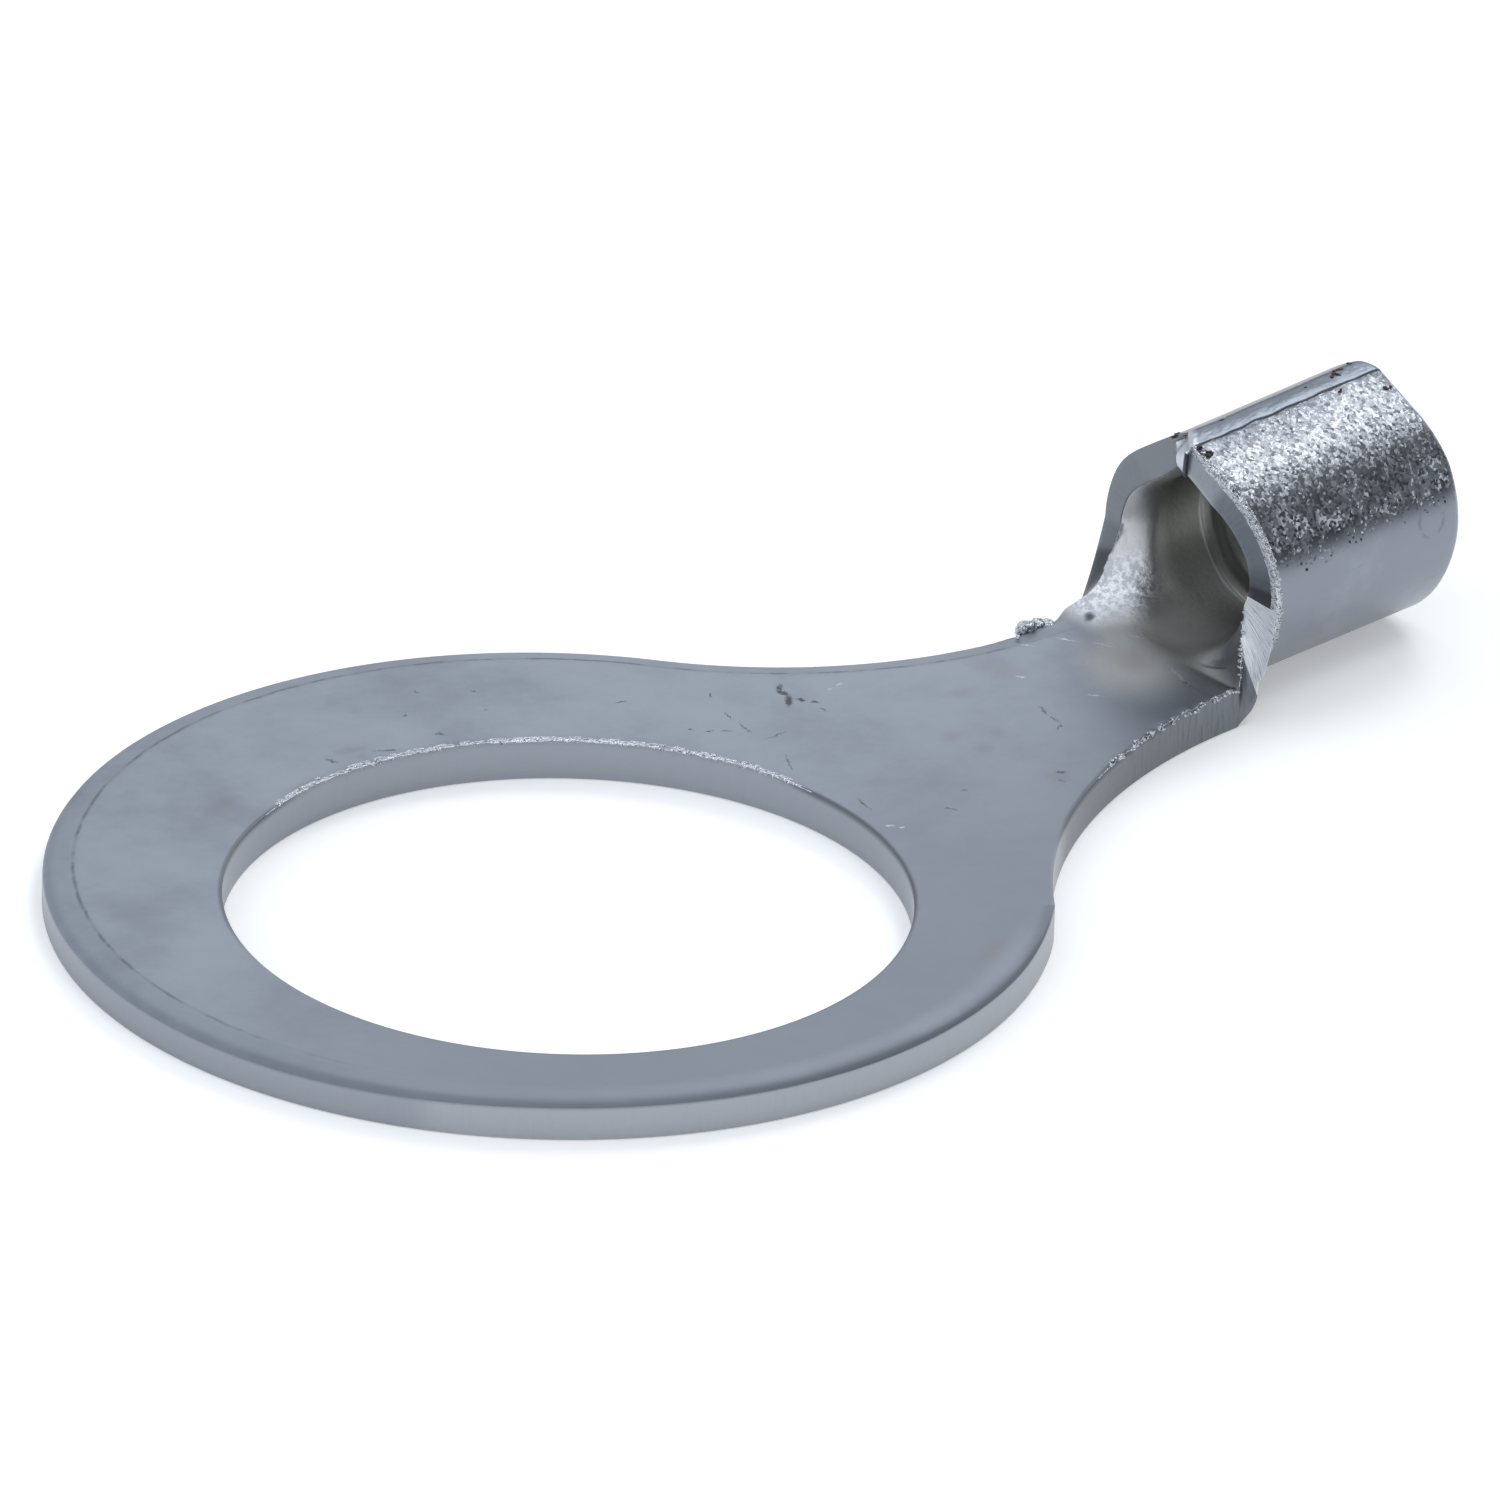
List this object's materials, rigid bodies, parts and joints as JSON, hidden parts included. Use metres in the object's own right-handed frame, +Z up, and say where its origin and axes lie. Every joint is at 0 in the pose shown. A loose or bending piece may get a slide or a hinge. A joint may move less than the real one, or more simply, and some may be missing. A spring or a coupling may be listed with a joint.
{
  "type": "ring terminal",
  "caption": "Uninsulated ring terminal: a flat ring with a stud hole on a short neck that is dished up and rolled into a seamed wire barrel.",
  "frame": {"origin": "axis of the stud hole at the underside of the ring", "axes": "+Z up along the stud hole, +X along the neck towards the rear of the wire barrel, +Y to the left of it"},
  "size_m": [0.0354, 0.022, 0.0059],
  "materials": {
    "tin_plate": "matt tin-plated copper"
  },
  "bodies": {
    "root": {"ring_terminal": "tin_plate"}
  },
  "joints": []
}
